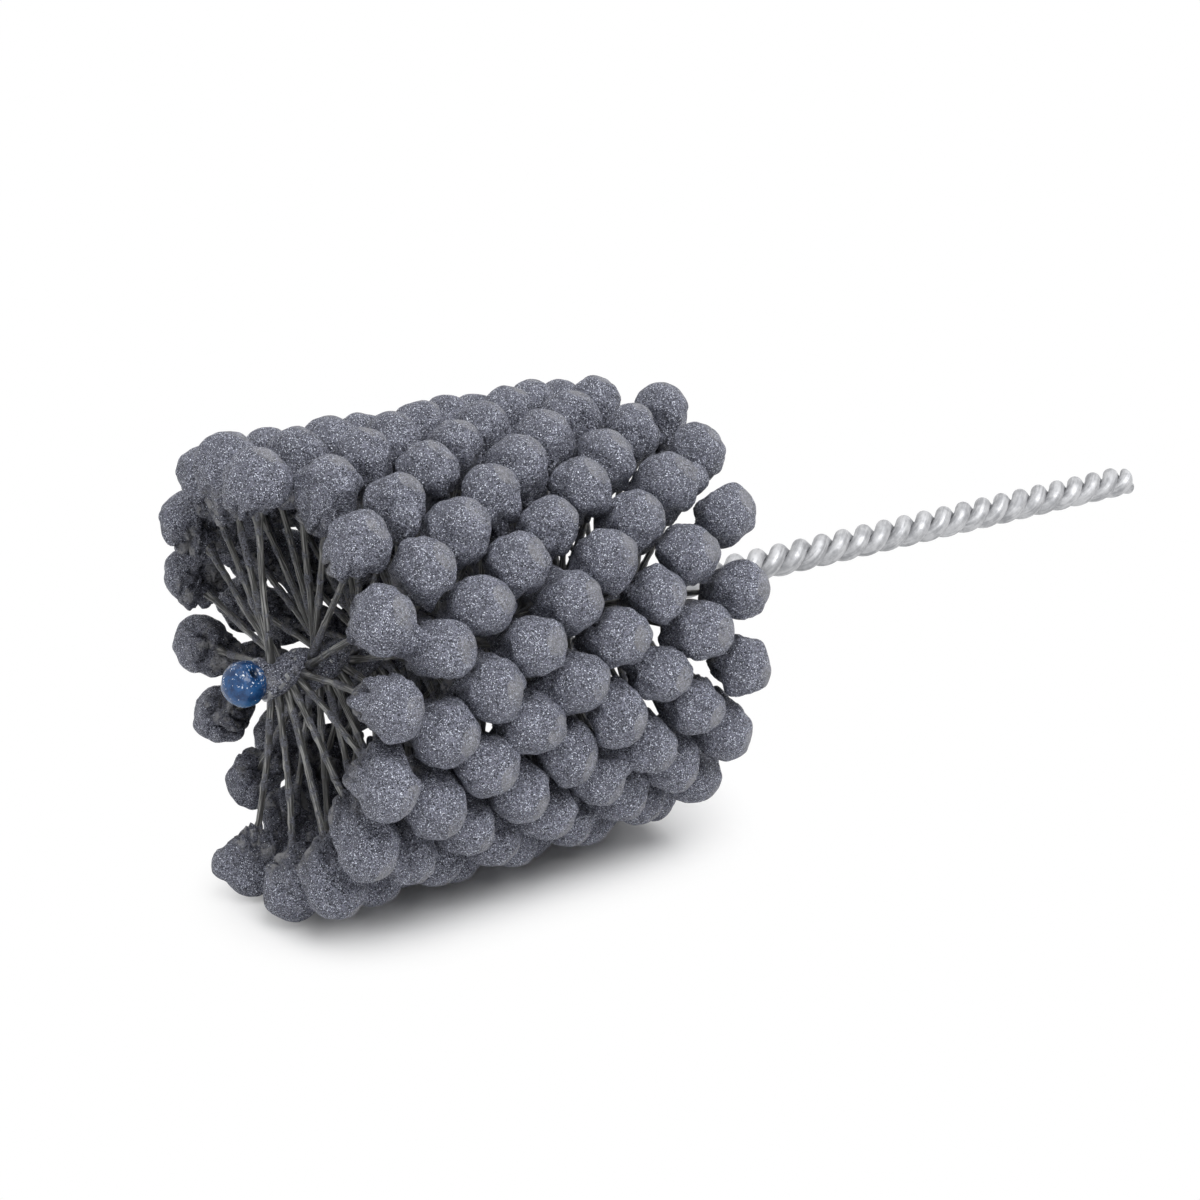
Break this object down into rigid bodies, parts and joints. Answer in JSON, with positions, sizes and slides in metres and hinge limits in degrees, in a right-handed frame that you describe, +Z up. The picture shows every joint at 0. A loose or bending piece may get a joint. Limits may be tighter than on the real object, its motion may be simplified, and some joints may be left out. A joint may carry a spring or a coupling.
{
  "type": "flexible ball hone",
  "caption": "Twisted-wire hone lying on its side: abrasive globules on nylon filaments form a round head, with a tip ball in front and a twisted steel stem behind.",
  "frame": {"origin": "middle of the overall length and width, at the level of the lowest globules, which the hone lies on", "axes": "+X along the hone's axis from the tip ball to the cut end of the stem, +Z up, +Y to the left when looking along +X"},
  "size_m": [0.2032, 0.08, 0.08],
  "materials": {
    "abrasive": "rough silicon carbide grit in resin, dark blue-grey with fine sparkles",
    "wire": "matte galvanised steel wire, light grey",
    "tip": "glossy dark blue resin"
  },
  "bodies": {
    "root": {"core_wire_a": "wire", "core_wire_b": "wire", "tip_ball": "tip", "filament_pair_01": "abrasive", "filament_pair_02": "abrasive", "filament_pair_03": "abrasive", "filament_pair_04": "abrasive", "filament_pair_05": "abrasive", "filament_pair_06": "abrasive", "filament_pair_07": "abrasive", "filament_pair_08": "abrasive", "filament_pair_09": "abrasive", "filament_pair_10": "abrasive", "filament_pair_11": "abrasive", "filament_pair_12": "abrasive", "filament_pair_13": "abrasive", "filament_pair_14": "abrasive", "filament_pair_15": "abrasive", "filament_pair_16": "abrasive", "filament_pair_17": "abrasive", "filament_pair_18": "abrasive", "filament_pair_19": "abrasive", "filament_pair_20": "abrasive", "filament_pair_21": "abrasive", "filament_pair_22": "abrasive", "filament_pair_23": "abrasive", "filament_pair_24": "abrasive", "filament_pair_25": "abrasive", "filament_pair_26": "abrasive", "filament_pair_27": "abrasive", "filament_pair_28": "abrasive", "filament_pair_29": "abrasive", "filament_pair_30": "abrasive", "filament_pair_31": "abrasive", "filament_pair_32": "abrasive", "filament_pair_33": "abrasive", "filament_pair_34": "abrasive", "filament_pair_35": "abrasive", "filament_pair_36": "abrasive", "filament_pair_37": "abrasive", "filament_pair_38": "abrasive", "filament_pair_39": "abrasive"}
  },
  "joints": []
}
